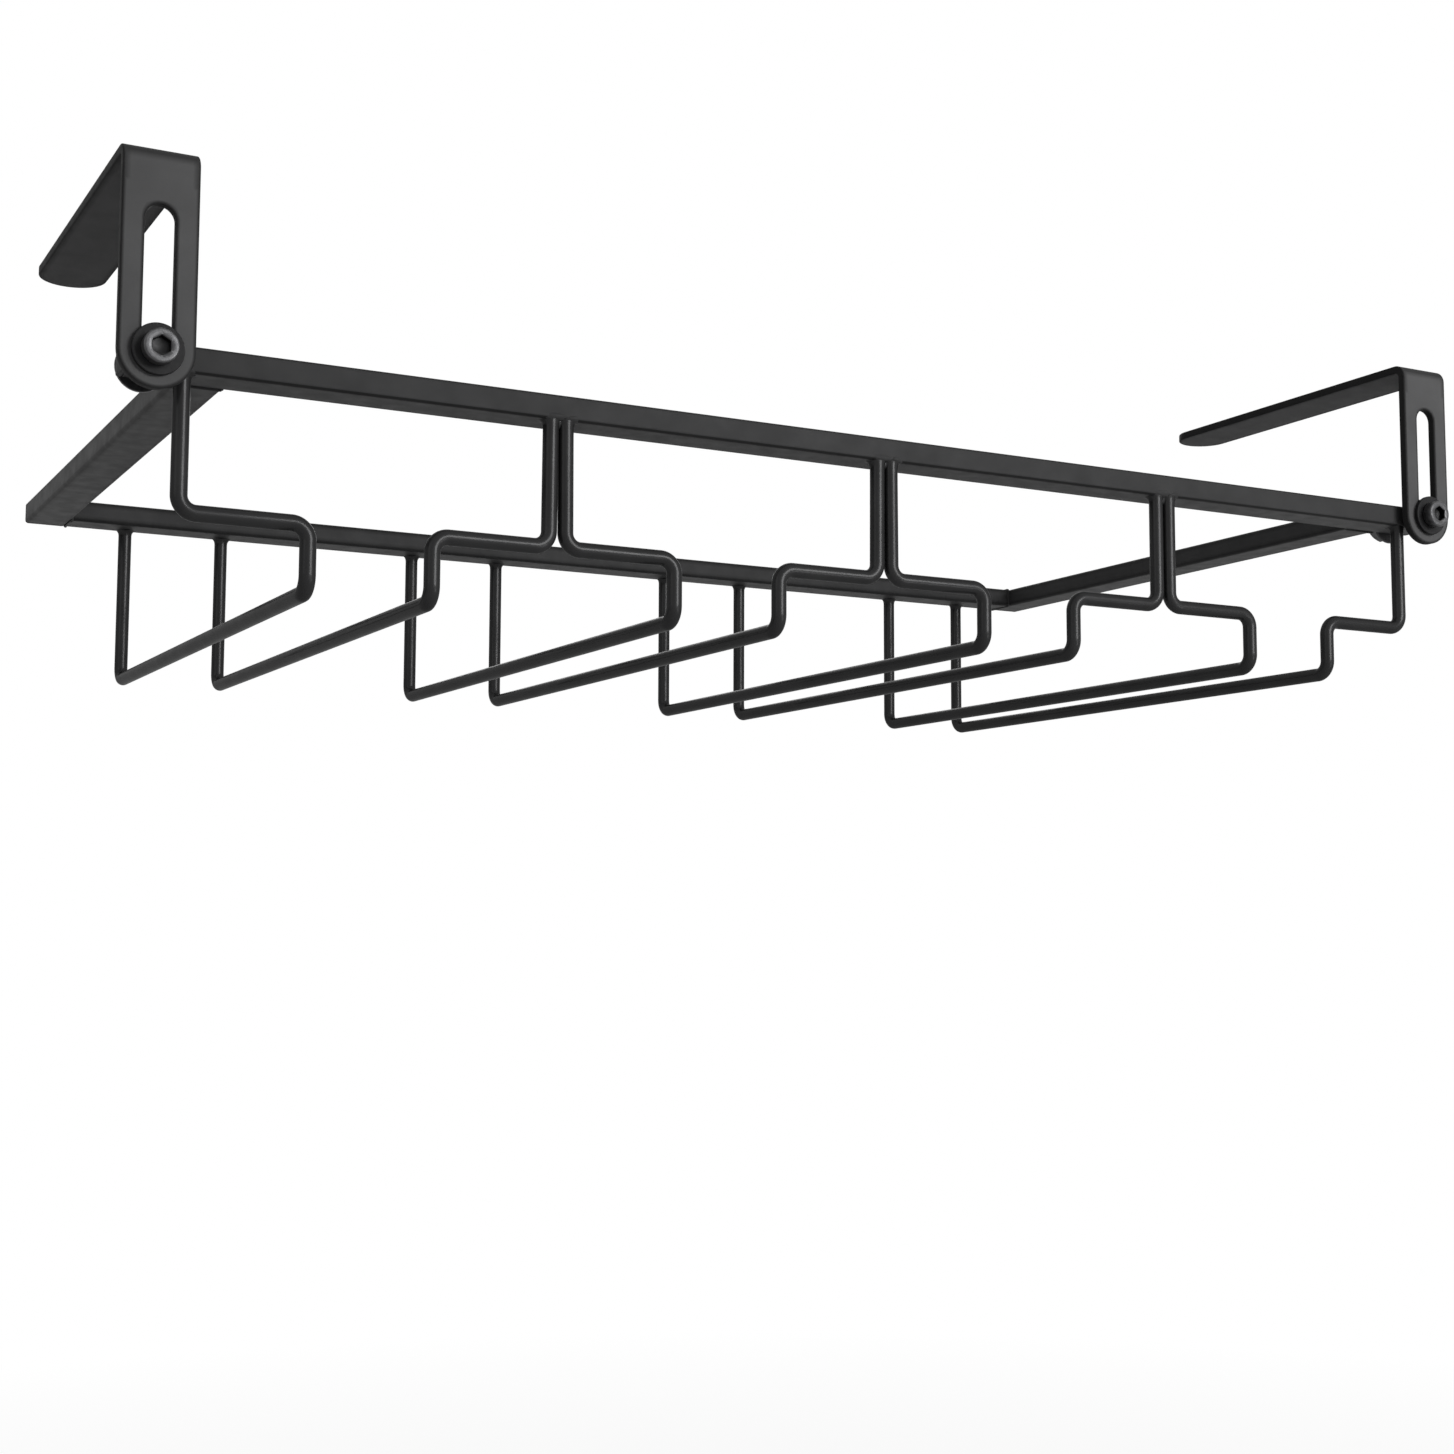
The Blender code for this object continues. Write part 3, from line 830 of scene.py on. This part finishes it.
@dataclass
class WireChannels:
    """Eight bent wires, in mirrored pairs, and the welds that hold their posts under the rails."""

    channels: int = 4
    radius: float = 0.0025
    bend: float = 0.005
    bend_guard: float = 0.0003
    bend_steps: int = 18
    step_drop: float = 0.040
    columns: int = 40
    fillet_columns: int = 48
    fillet_steps: int = 10
    fillet_width: float = 0.0017
    fillet_height: float = 0.0021
    fillet_start: float = 1.004
    fillet_root: float = 0.9
    fillet_lip: float = 0.0003
    fillet_lid: float = 0.0002
    width_waves: Rows = ((0.10, 3, 1), (0.06, 7, 2.3))
    height_waves: Rows = ((0.12, 2, 1.7),)
    edge_lap: float = 0.0010
    edge_squeeze: float = 0.82
    edge_power: float = 1.5
    rear_seed: int = 5
    post_leans: tuple[float, ...] = (0.0, 0.00026, 0.0002, 0.0, 0.0)
    bridge_size: Point = (0.0019, 0.0017, 0.0027)
    coat: PowderCoat = PowderCoat("wire_powder_coat", (0.020, 0.020, 0.0204), (0.026, 0.026, 0.0264), 0.37,
                                  gloss=0.0, metallic=0.44, rim=0.55, glaze=0.085,
                                  peel_depth=0.000002, grain_depth=0.0000004)

    def route(self, channel: int, side: Side) -> np.ndarray:
        """The wire's centre line, from the front post over the step to the rear post.

        A post that stands beside another leans towards it by a hair at the top.

        Args:
            channel: The channel's number, from the left.
            side: The side of the channel that the wire is on.

        Returns:
            The points of the line, with its bends rounded.
        """
        box, radius = Box.of(f"channel_{channel}_{side.word}_wire"), self.radius
        post, rail = box.inside(side, radius), box.inside(side.other, radius)
        front, rear = box.low[1] + radius, box.high[1] - radius
        under = Box.of("front_rail").low[2]
        step, bottom = under - self.step_drop, box.low[2] + radius
        lean = side.value * self.post_leans[channel if side is Side.RIGHT else channel - 1]
        corners = np.array([(post + lean, front, under), (post, front, step), (rail, front, step),
                            (rail, front, bottom), (rail, rear, bottom), (rail, rear, under)])
        return soft_corners(corners, self.bend, self.bend_steps, (self.bend_guard,))

    def wire(self, path: np.ndarray) -> np.ndarray:
        """A round wire along its centre line, closed at both ends, as a grid."""
        ends = np.repeat(path[[0, -1], None], self.columns, 1)
        return np.vstack([ends[:1], swept(path, self.radius, self.columns), ends[1:]])

    def fillet(self, post: np.ndarray, outwards: float, seed: int) -> np.ndarray:
        """The weld round a post's top, drawn up to the rail in a hollow curve.

        At each angle a the weld runs r(t) = R + w (1 - cos t) and z(t) = top - h (1 - sin t), with t from
        0 to a quarter turn. Its width w and height h ripple with a. Towards the rail's near edge w
        shrinks and the top laps up over the rail's round corner.

        Args:
            post: The point where the post meets the rail's underside.
            outwards: -1 where the rail's near edge is in front of the post, 1 where it is behind.
            seed: What makes this weld's ripple its own.

        Returns:
            The weld as a grid.
        """
        angle = full_turn(self.fillet_columns)
        near = np.clip(outwards * np.sin(angle), 0, 1) ** self.edge_power
        width = self.fillet_width * ripple(angle, self.width_waves, seed) * (1 - self.edge_squeeze * near)
        height = self.fillet_height * ripple(angle, self.height_waves, seed)
        turn = np.linspace(0, QUARTER, self.fillet_steps)[:, None]
        radius = self.radius * self.fillet_start + width * (1 - np.cos(turn))
        level = post[2] - height * (1 - np.sin(turn)) + self.edge_lap * near * np.sin(turn)
        axis, lid = np.zeros_like(angle), self.fillet_lid
        radius = np.vstack([axis, radius[0] * self.fillet_root, radius, radius[-1] - self.fillet_lip, axis])
        level = np.vstack([axis + level[0].mean(), level[0], level, level[-1] + lid, axis + post[2] + lid])
        return np.stack([post[0] + radius * np.cos(angle), post[1] + radius * np.sin(angle), level], -1)

    def build(self) -> None:
        """Make every wire and its two welds, and the weld between each two posts side by side."""
        steel = Dressing(self.coat.material(), "frame", Slot.WIRE)
        tops = []
        for channel in range(1, self.channels + 1):
            for side in Side:
                node = f"channel_{channel}_{side.word}_wire"
                path = self.route(channel, side)
                tops.append(path[0])
                seed = 2 * channel + side.value
                steel.show(f"{node}_coated", self.wire(path), node)
                steel.show(f"{node}_front_weld", self.fillet(path[0], -1.0, seed))
                steel.show(f"{node}_rear_weld", self.fillet(path[-1], 1.0, seed + self.rear_seed))
        for channel in range(1, self.channels):
            between = (tops[2 * channel - 1] + tops[2 * channel]) / 2
            steel.show(f"post_bridge_{channel}", lump(between, np.diag(self.bridge_size), channel))


# ---------------------------------------------------------------- the hooks


@dataclass
class Hook:
    """A flat bar with a slot and full round ends, bent square, its edges softened by the coat."""

    side: Side
    width: float = 0.022
    thickness: float = 0.003
    bend: float = 0.002
    height: float = 0.0565
    arm: float = 0.137
    slot_width: float = 0.0088
    slot_centres: float = 0.0378
    slot_lift: float = 0.0001
    edge: float = 0.00045
    edge_steps: int = 6
    # How far painted edge shade reaches in from an edge, and the painted shade band round the bend's
    # outside: its limit, where it starts and how fast it grows.
    edge_shade_fade: float = 0.0006
    painted_bend_shade: float = 0.85
    painted_shade_start: float = 0.05
    painted_shade_run: float = 0.35
    bend_guard: float = 0.0003
    bend_run: float = 0.003
    fan_guard: float = 0.0076
    round_steps: int = 17
    strip_steps: int = 9
    fan_steps: int = 9
    bar_steps: tuple[int, int, int] = (3, 25, 7)
    shares: tuple[float, ...] = (0, 0.03, 0.12, 0.35, 0.65, 0.88, 0.97, 1)

    @property
    def middle_radius(self) -> float:
        """The bend radius of the bar's middle plane."""
        return self.bend + self.thickness / 2

    @property
    def turn(self) -> float:
        """The length of the bend along the bar's middle plane."""
        return self.middle_radius * QUARTER

    @property
    def plate(self) -> float:
        """The length of the upright part, from the screw's place in the slot to the bend."""
        return self.height - self.bend - self.slot_lift

    @property
    def tip(self) -> float:
        """How far along the bar the centre of its round tip is."""
        return self.plate + self.turn + self.arm - self.bend - self.width / 2

    @property
    def outer(self) -> float:
        """Half the width of the bar's flat face, inside its soft edge."""
        return self.width / 2 - self.edge

    @property
    def inner(self) -> float:
        """Half the width of the slot, its soft edge included."""
        return self.slot_width / 2 + self.edge

    def bent(self, blank: np.ndarray) -> np.ndarray:
        """Bend the blank's points, given as x, the length s along the bar and the height t off its middle.

        With a = (s - plate) / R kept within a quarter turn, y = bend - (R + t) cos a + what is left of s,
        and z = flat + (R + t) sin a + what s lacks of the plate.

        Args:
            blank: Points whose last axis is x, s, t.

        Returns:
            The points in the rack's frame.
        """
        box = Box.of(f"{self.side.word}_hook")
        across, along, out = np.moveaxis(blank, -1, 0)
        angle = np.clip(along - self.plate, 0, self.turn) / self.middle_radius
        below = np.minimum(along - self.plate, 0)
        beyond = np.maximum(along - self.plate - self.turn, 0)
        reach = self.middle_radius + out
        y = self.bend - reach * np.cos(angle) + beyond
        z = box.high[2] - self.thickness - self.bend + reach * np.sin(angle) + below
        return np.stack([box.middle[0] + across, y, z], -1)

    def half_patches(self) -> tuple[list[np.ndarray], np.ndarray, np.ndarray]:
        """The right half of the flat bar, inside its soft edge, as grids in x and s.

        Five grids follow each other: the round end about the slot's low end, the straight strip beside
        the slot, the fan from the slot's high end out to a square, whose points are the direction over
        its greater share, the plain bar with close rows in the bend, and the round tip.

        Returns:
            The grids, and the outer and the slot's half outline as x, s and the outward direction.
        """
        outer, inner, high, tip = self.outer, self.inner, self.slot_centres, self.tip
        start, end, guard = self.plate, self.plate + self.turn, self.bend_guard
        before, within, after = self.bar_steps
        shares = np.array(self.shares)
        low_way = circle(np.linspace(-QUARTER, 0, self.round_steps))
        tip_way = circle(np.linspace(0, QUARTER, self.round_steps))
        eighth = np.linspace(0, QUARTER / 2, self.fan_steps)
        fan_way = circle(np.concatenate([eighth, eighth[-1:] + self.fan_guard, QUARTER / 2 + eighth[1:]]))
        radial = inner + (outer - inner) * shares
        foot = low_way[:, None] * radial[:, None]
        strip = np.stack(np.meshgrid(radial, np.linspace(0, high, self.strip_steps)), -1)
        near = inner * fan_way + (0, high)
        far = outer * fan_way / fan_way.max(1, keepdims=True) + (0, high)
        fan = near[:, None] + (far - near)[:, None] * shares[:, None]
        across = far[self.fan_steps - 1:, 0]
        rows = np.concatenate([np.linspace(high + outer, start - guard, before),
                               np.linspace(start, end, within), [end + guard],
                               np.linspace(end + self.bend_run, tip, after)])
        bar = np.stack(np.meshgrid(across, rows), -1)
        cap = np.stack(np.broadcast_arrays(tip_way[:, :1] * across, tip + outer * tip_way[:, 1:]), -1)
        line = np.vstack([foot[:, -1], strip[1:, -1], fan[1:self.fan_steps, -1], bar[1:, 0], cap[1:, 0]])
        sideways = np.tile([1.0, 0.0], (len(line), 1))
        ways = np.vstack([low_way, sideways[len(low_way):1 - len(tip_way)], tip_way[1:]])
        slot_line = np.vstack([foot[:, 0], strip[1:, 0], fan[1:, 0]])
        slot_ways = -np.vstack([low_way, sideways[1:len(strip)], fan_way[1:]])
        return [foot, strip, fan, bar, cap], np.hstack([line, ways]), np.hstack([slot_line, slot_ways])

    def rim(self, half_outline: np.ndarray) -> np.ndarray:
        """Carry the soft edge round an outline.

        At each outline point p with outward direction n, the edge runs p + e sin(f) n at the height
        t = T / 2 - e + e cos(f), for f from 0 to a quarter turn, and mirrored below.

        Args:
            half_outline: The right half of the outline as x, s and the direction.

        Returns:
            The grid of the whole edge, in x, s and t.
        """
        mirror = half_outline[::-1][1:-1] * np.array([-1.0, 1.0, -1.0, 1.0])
        outline = np.vstack([half_outline, mirror])
        turn = np.linspace(0, QUARTER, self.edge_steps)
        offset = np.concatenate([np.sin(turn), np.sin(turn[::-1])]) * self.edge
        upper = self.thickness / 2 - self.edge + self.edge * np.cos(turn)
        height = np.concatenate([upper, -upper[::-1]])
        flat = outline[None, :, :2] + offset[:, None, None] * outline[None, :, 2:]
        return np.concatenate([flat, np.broadcast_to(height[:, None, None], (*flat.shape[:2], 1))], -1)

    def edge_and_bend_shade(self, patch: np.ndarray, face: float) -> np.ndarray:
        """How much shade is painted on each point of the flat bar: darker near an edge, and a painted shade
        band round the bend's outside.

        The outline and the slot are both stadiums, so a point's distance from their middle lines is
        hypot(x, s - s kept within the line). The painted edge shade is 1 - d / fade for the lesser distance
        d.
        Round the bend's outside the painted shade grows with the share b of the quarter turn, as (b -
        start) / run, up to its limit.

        Args:
            patch: Points in x and s.
            face: The height of the face off the bar's middle, positive on the bend's outside.

        Returns:
            One on an edge, zero away from them; on the bend's outside, the painted shade band.
        """
        x, along = patch[..., 0], patch[..., 1]
        outside = self.outer - np.hypot(x, along - np.clip(along, 0, self.tip))
        slot = np.hypot(x, along - np.clip(along, 0, self.slot_centres)) - self.inner
        near = np.clip(1 - np.minimum(outside, slot) / self.edge_shade_fade, 0, 1)
        share = (along - self.plate) / self.turn
        shade = np.clip((share - self.painted_shade_start) / self.painted_shade_run, 0, self.painted_bend_shade)
        return np.maximum(near, np.where(share <= 1 + ROUNDING, shade, 0) if face > 0 else 0)

    def build(self, coat: bpy.types.Material) -> None:
        """Make the hook.

        Args:
            coat: The bars' finish.
        """
        patches, outline, slot_outline = self.half_patches()
        surface = Surface()
        for patch in patches:
            for face in (self.thickness / 2, -self.thickness / 2):
                # Shade is painted near the bar's edges and in a band round the bend's outside.
                near = self.edge_and_bend_shade(patch, face)
                level = np.full((*patch.shape[:2], 1), face)
                for mirror in (1.0, -1.0):
                    blank = np.concatenate([patch * np.array([mirror, 1.0]), level], -1)
                    surface.add_grid(self.bent(blank), edge=near)
        # The soft edge all round gets the full painted edge shade.
        for half in (outline, slot_outline):
            surface.add_grid(self.bent(self.rim(half)), wrap_columns=True, edge=1.0)
        node = f"{self.side.word}_hook"
        Dressing(coat, f"{self.side.word}_hanger", Slot.HOOK).show(f"{node}_coated", surface, node)


# ---------------------------------------------------------------- the clamps


@dataclass
class Clamp:
    """One side's screw, shoulder washer, spacer and flange nut, each turned about the screw's axis.

    The under_head and flange rows are a radius and a height. The hexagon rows are what the nut's
    radius has added, its limit and its height. The ring rows are a step's radius and where it ends.
    """

    side: Side
    columns: int = 48
    bore: float = 0.0033
    head: float = 0.005
    head_height: float = 0.004
    head_edge: float = 0.0006
    head_edge_steps: int = 7
    head_bevel: float = 0.0003
    head_face: float = 0.0038
    under_head: Rows = ((0.0048, 0.0), (0.0034, 0.0), (0.0031, -0.0001), (0.003, -0.0005))
    shank: float = 0.003
    length: float = 0.030
    socket: float = 0.005
    socket_depth: float = 0.0023
    socket_mouth: float = 0.00305
    drill_radius: float = 0.0018
    drill_depth: float = 0.0008
    pitch: float = 0.001
    thread_start: float = 0.004
    thread_rows: int = 236
    thread_depth: float = 0.0005
    thread_fades: tuple[float, float] = (0.001, 0.0008)
    tip_bevel: float = 0.0006
    nut_flats: float = 0.0106
    nut_height: float = 0.006
    nut_chamfer: float = 0.0004
    flange: Rows = ((0.0072, 0.0), (0.0074, 0.0002), (0.0074, 0.0009), (0.0071, 0.0012))
    hexagon_rows: Rows = ((0.0002, 0.01, 0.0017), (0.0, 0.01, 0.0020), (0.0, 0.01, 0.0052),
                          (0.0, 0.005653, 0.0058), (0.0, 0.005353, 0.0060))
    ring_columns: int = 72
    ring_corner: float = 0.0003
    ring_corner_steps: int = 5
    washer: Rows = ((0.0040, 0.003), (0.0075, 0.0045))
    spacer: Rows = ((0.0071, 0.0015),)

    def origin(self, y: float) -> np.ndarray:
        """The point of the screw's axis at that y."""
        middle = Box.of(f"{self.side.word}_clamp_screw").middle
        return np.array([middle[0], y, middle[2]])

    def screw(self, node: str) -> Surface:
        """A socket head cap screw with its thread.

        Every row is a closed ring. In the socket its radius follows a hexagon. Down the thread it is
        R - d |2 frac(z / p - a / turn) - 1|, a right-hand ridge that fades in and out at the ends.

        Args:
            node: The solid that it stands for.

        Returns:
            The screw's surface.
        """
        six = hexagon(self.socket, self.columns)
        top, edge, bevel = self.head_height, self.head_edge, self.head_bevel
        floor = top - self.socket_depth
        socket = [(0, floor - self.drill_depth), (self.drill_radius, floor), (six, floor),
                  (six, top - bevel)]
        rows = [*socket, (self.socket_mouth, top), (self.head_face, top)]
        rows += [(self.head - edge + edge * math.sin(a), top - edge + edge * math.cos(a))
                 for a in np.linspace(0, QUARTER, self.head_edge_steps)]
        rows += [(self.head, bevel), *self.under_head]
        start, end = -self.thread_start, self.tip_bevel - self.length
        height = np.linspace(start, end, self.thread_rows)[:, None]
        ridge = np.abs(2 * ((height / self.pitch - full_turn(self.columns) / math.tau) % 1) - 1)
        fade_in, fade_out = self.thread_fades
        fade = np.clip((start - height) / fade_in, 0, 1) * np.clip((height - end) / fade_out, 0, 1)
        rows += list(zip(self.shank - self.thread_depth * ridge * fade, height[:, 0]))
        rows += [(self.shank - self.tip_bevel, -self.length), (0, -self.length)]
        # Shade is painted into the socket's inside.
        socket_shade = (np.arange(len(rows)) < len(socket)).astype(float)[:, None]
        seat = self.origin(Box.of(node).low[1] + top)
        grid = Facing.FRONT.place(turned(rows, self.columns), seat)
        return Surface().add_grid(grid, wrap_columns=True, edge=socket_shade)

    def ring(self, node: str, steps: Rows) -> Surface:
        """A ring with soft corners, turned from a stepped profile.

        Args:
            node: The solid that it stands for.
            steps: Each step's radius and how far in front of the solid's back it ends.

        Returns:
            The ring's surface.
        """
        corners, ahead = [(self.bore, 0.0)], 0.0
        for radius, end in steps:
            corners += [(radius, ahead), (radius, end)]
            ahead = end
        corners.append((self.bore, ahead))
        profile = soft_corners(np.array(corners), self.ring_corner, self.ring_corner_steps,
                               (self.ring_corner / 3,), closed=True)
        back = self.origin(Box.of(node).high[1])
        grid = Facing.FRONT.place(turned(profile, self.ring_columns), back)
        return Surface().add_grid(grid, wrap_rows=True, wrap_columns=True)

    def nut(self, node: str) -> Surface:
        """A hexagon nut on a round flange, with chamfered corners and a chamfered bore.

        Args:
            node: The solid that it stands for.

        Returns:
            The nut's surface.
        """
        six = hexagon(self.nut_flats, self.columns)
        bore, top, chamfer = self.bore, self.nut_height, self.nut_chamfer
        rows = [(bore + chamfer, 0.0), *self.flange]
        rows += [(np.minimum(six + more, limit), level) for more, limit, level in self.hexagon_rows]
        rows += [(bore + chamfer, top), (bore, top - chamfer), (bore, chamfer)]
        seat = self.origin(Box.of(node).low[1])
        grid = Facing.BACK.place(turned(rows, self.columns), seat)
        return Surface().add_grid(grid, wrap_rows=True, wrap_columns=True)

    def build(self) -> None:
        """Make the four pieces of the clamp."""
        word, centre = self.side.word, tuple(self.origin(0.0))
        steel = BlackOxide(f"{word}_screw_black_oxide", (0.044, 0.044, 0.0455), (0.074, 0.074, 0.0765),
                           0.38, metallic=0.75, centre=centre).material()
        nut_steel = BlackOxide(f"{word}_nut_black_oxide", (0.020, 0.020, 0.0208), (0.036, 0.036, 0.0372),
                               0.46, metallic=0.7, centre=centre).material()
        nylon = Moulding(f"{word}_nylon", (0.006, 0.006, 0.0065), (0.010, 0.010, 0.0105), 0.5).material()
        screw, washer = f"{word}_clamp_screw", f"{word}_shoulder_washer"
        spacer, nut = f"{word}_spacer", f"{word}_flange_nut"
        for name, surface, finish, body, slot, node in (
                ("threaded", self.screw(screw), steel, f"{word}_screw", Slot.SCREW, screw),
                ("moulded", self.ring(washer, self.washer), nylon, f"{word}_washer", Slot.WASHER, washer),
                ("moulded", self.ring(spacer, self.spacer), nylon, f"{word}_pivot", Slot.WASHER, spacer),
                ("forged", self.nut(nut), nut_steel, "frame", Slot.NUT, nut)):
            Dressing(finish, body, slot).show(f"{node}_{name}", surface, node)


@dataclass
class HookSet:
    """Both hooks and what clamps them to the front rail."""

    coat: PowderCoat = PowderCoat("hook_powder_coat", (0.067, 0.067, 0.0678), (0.081, 0.081, 0.0818), 0.58,
                                  gloss=0.02)

    def build(self) -> None:
        """Make each side's hook and clamp."""
        coat = self.coat.material()
        for side in Side:
            Hook(side).build(coat)
            Clamp(side).build()


# ---------------------------------------------------------------- the studio


def axes_at(place: Point, *axes: np.ndarray) -> Matrix:
    """The matrix of an object at that place whose own x, y and z axes point along these."""
    rows = np.vstack([np.column_stack([*axes, place]), (0, 0, 0, 1)])
    return Matrix(rows.tolist())


@dataclass(frozen=True)
class Panel:
    """A soft light panel that faces the rack's middle, with its size in metres."""

    name: str
    place: Point
    size: tuple[float, float]
    watts: float
    target: Point = (0.0, 0.12, -0.06)

    def hang(self) -> None:
        """Put the panel into the scene."""
        data = bpy.data.lights.new(self.name, "AREA")
        data.shape, data.size, data.size_y, data.energy = "RECTANGLE", *self.size, self.watts
        back = unit(np.subtract(self.place, self.target))
        right = unit(np.cross([0.0, 0.0, 1.0], back))
        lamp = add_object(self.name, data)
        lamp.matrix_world = axes_at(self.place, right, np.cross(back, right), back)


@dataclass
class Studio:
    """A white room with soft panels, a pale floor far below, and the camera."""

    camera_place: Point = (-0.3774182, -0.5901676, -0.2190447)
    camera_right: Point = (0.882152, -0.470958, 0.002756)
    camera_down: Point = (0.048009, 0.084102, -0.9953)
    camera_ahead: Point = (0.468512, 0.878138, 0.096801)
    focal_pixels: float = 2107.033
    frame_pixels: float = 1454.0
    sensor: float = 36.0
    view_range: tuple[float, float] = (0.01, 50.0)
    floor_level: float = -0.62
    floor_reach: float = 6.0
    floor_lines: int = 9
    floor_shade: float = 0.50
    floor_roughness: float = 0.9
    floor_glow: float = 0.85
    floor_fade: tuple[float, float] = (0.8, 1.6)
    room_light: float = 0.30
    panels: tuple[Panel, ...] = (Panel("front_panel", (0.66, -1.54, 0.30), (0.8, 0.6), 26.0),
                                 Panel("low_panel", (0.62, -0.95, -0.42), (0.36, 0.26), 1.6),
                                 Panel("left_panel", (-1.7, -0.7, 0.6), (0.8, 1.0), 2.5),
                                 Panel("top_panel", (0.1, 0.3, 1.7), (1.4, 1.2), 2.5),
                                 Panel("rear_panel", (0.7, 1.9, 0.7), (1.2, 0.8), 8.0))

    def aim_camera(self) -> None:
        """Place the camera where the photograph was taken from."""
        data = bpy.data.cameras.new("camera")
        data.sensor_width = self.sensor
        data.lens = self.focal_pixels / self.frame_pixels * self.sensor
        data.clip_start, data.clip_end = self.view_range
        camera = add_object("camera", data)
        camera.matrix_world = axes_at(self.camera_place, self.camera_right,
                                      np.negative(self.camera_down), np.negative(self.camera_ahead))
        bpy.context.scene.camera = camera

    @staticmethod
    def background_share(graph: Graph) -> Socket:
        """One where a ray comes from the camera, a gloss or a clear piece, and zero elsewhere.

        Args:
            graph: The tree that gets the nodes.

        Returns:
            The share.
        """
        total = graph.add("LightPath", {}, "Is Camera Ray")
        kinds = total.node.outputs
        for name in ("Is Glossy Ray", "Is Transmission Ray"):
            total = graph.add("Math", {0: total, 1: kinds[name]}, "Value", operation="MAXIMUM")
        return total

    def light_room(self) -> None:
        """Make the room white to look at, and a soft grey as a light."""
        world = bpy.data.worlds.new("studio")
        bpy.context.scene.world = world
        world.use_nodes = True
        graph = Graph(world.node_tree)
        lit = graph.tree.nodes["Background"]
        graph.feed(lit, {"Color": WHITE, "Strength": self.room_light})
        seen = graph.add("Background", {"Color": WHITE}, "Background")
        mix = graph.add("MixShader", {0: self.background_share(graph), 1: lit.outputs["Background"],
                                      2: seen}, "Shader")
        graph.feed(graph.tree.nodes["World Output"], {"Surface": mix})

    def glow_share(self, kit: NodeKit) -> Socket:
        """How much of the floor glows by itself: most of it near the rack and all of it far away.

        Args:
            kit: The floor's material.

        Returns:
            The share.
        """
        away = kit.add("VectorMath", {0: kit.place}, "Value", operation="LENGTH")
        start, end = self.floor_fade
        fade = kit.add("MapRange", {"Value": away, "From Min": start, "From Max": end,
                                    "To Min": self.floor_glow, "To Max": 1.0}, "Result")
        return kit.add("Math", {0: self.background_share(kit), 1: fade}, "Value", operation="MULTIPLY")

    def lay_floor(self) -> None:
        """Lay the pale floor, which is nearly white to look at and still takes a shadow."""
        line = np.linspace(-self.floor_reach, self.floor_reach, self.floor_lines)
        x, y = np.meshgrid(line, line)
        grid = np.stack([x, y, np.full_like(x, self.floor_level)], -1)
        floor = add_object("floor", Surface().add_grid(grid).mesh("floor"))
        kit = NodeKit("floor_white")
        kit.dress(Base_Color=(*[self.floor_shade] * 3, 1), Roughness=self.floor_roughness)
        plain = kit.tree.nodes["Principled BSDF"].outputs["BSDF"]
        glow = kit.add("Emission", {}, "Emission")
        mix = kit.add("MixShader", {0: self.glow_share(kit), 1: plain, 2: glow}, "Shader")
        kit.feed(kit.tree.nodes["Material Output"], {"Surface": mix})
        floor.data.materials.append(kit.material)

    def build(self) -> None:
        """Set up the camera, the lights and the floor."""
        bpy.context.scene.view_settings.view_transform = "Standard"
        self.aim_camera()
        self.light_room()
        self.lay_floor()
        for panel in self.panels:
            panel.hang()


def main() -> None:
    """Dress the rack and set up the studio."""
    logging.basicConfig(level=logging.INFO, format="%(message)s")
    for assembly in (TubeFrame(), WireChannels(), HookSet(), Studio()):
        LOG.info("building %s", type(assembly).__name__)
        assembly.build()


if __name__ == "__main__":
    main()
